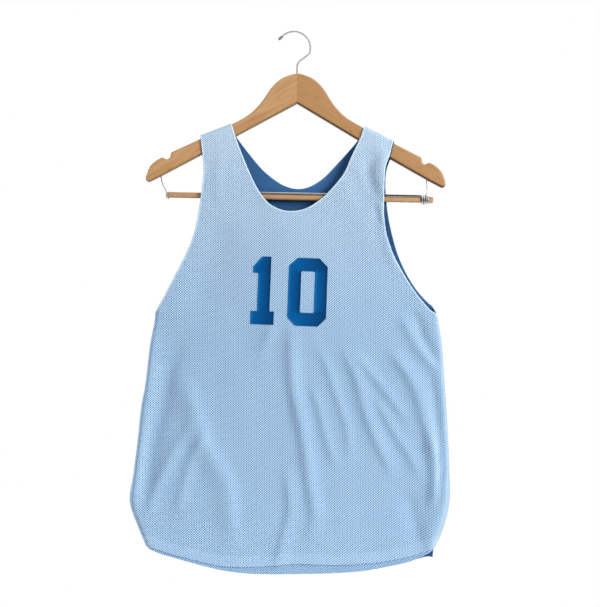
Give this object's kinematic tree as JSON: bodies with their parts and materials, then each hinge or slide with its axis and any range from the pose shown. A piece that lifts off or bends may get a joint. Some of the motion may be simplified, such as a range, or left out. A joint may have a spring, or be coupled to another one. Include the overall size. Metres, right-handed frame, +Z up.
{
  "type": "basketball jersey on a hanger",
  "caption": "Sleeveless reversible basketball jersey, white mesh over blue, hanging on a wooden trouser-bar hanger with a wire hook; neck, armholes and hem open",
  "frame": {"origin": "the point inside the top of the hook that rests on a rail", "axes": "+Z up, the front of the jersey towards -Y, +X to the right of someone who looks at its front"},
  "size_m": [0.4719, 0.0614, 0.7952],
  "materials": {
    "white_mesh": "matt white flat-back mesh, small holes in staggered rows that let the blue ply through",
    "blue_lining": "matt blue knit, the same mesh seen from its smooth side",
    "blue_film": "smooth heat-pressed film, half gloss",
    "beech": "clear satin lacquer over light beech",
    "bright_steel": "bright drawn wire",
    "dark_tip": "dark dipped tip"
  },
  "bodies": {
    "root": {"front_outer": "white_mesh", "back_outer": "white_mesh", "front_inner": "blue_lining", "back_inner": "blue_lining", "numeral_one": "blue_film", "numeral_zero": "blue_film", "hanger_body": "beech", "trouser_bar": "beech", "hook": "bright_steel", "hook_tip": "dark_tip", "bar_wire_left": "bright_steel", "bar_wire_right": "bright_steel", "lock_wire": "bright_steel"}
  },
  "joints": []
}
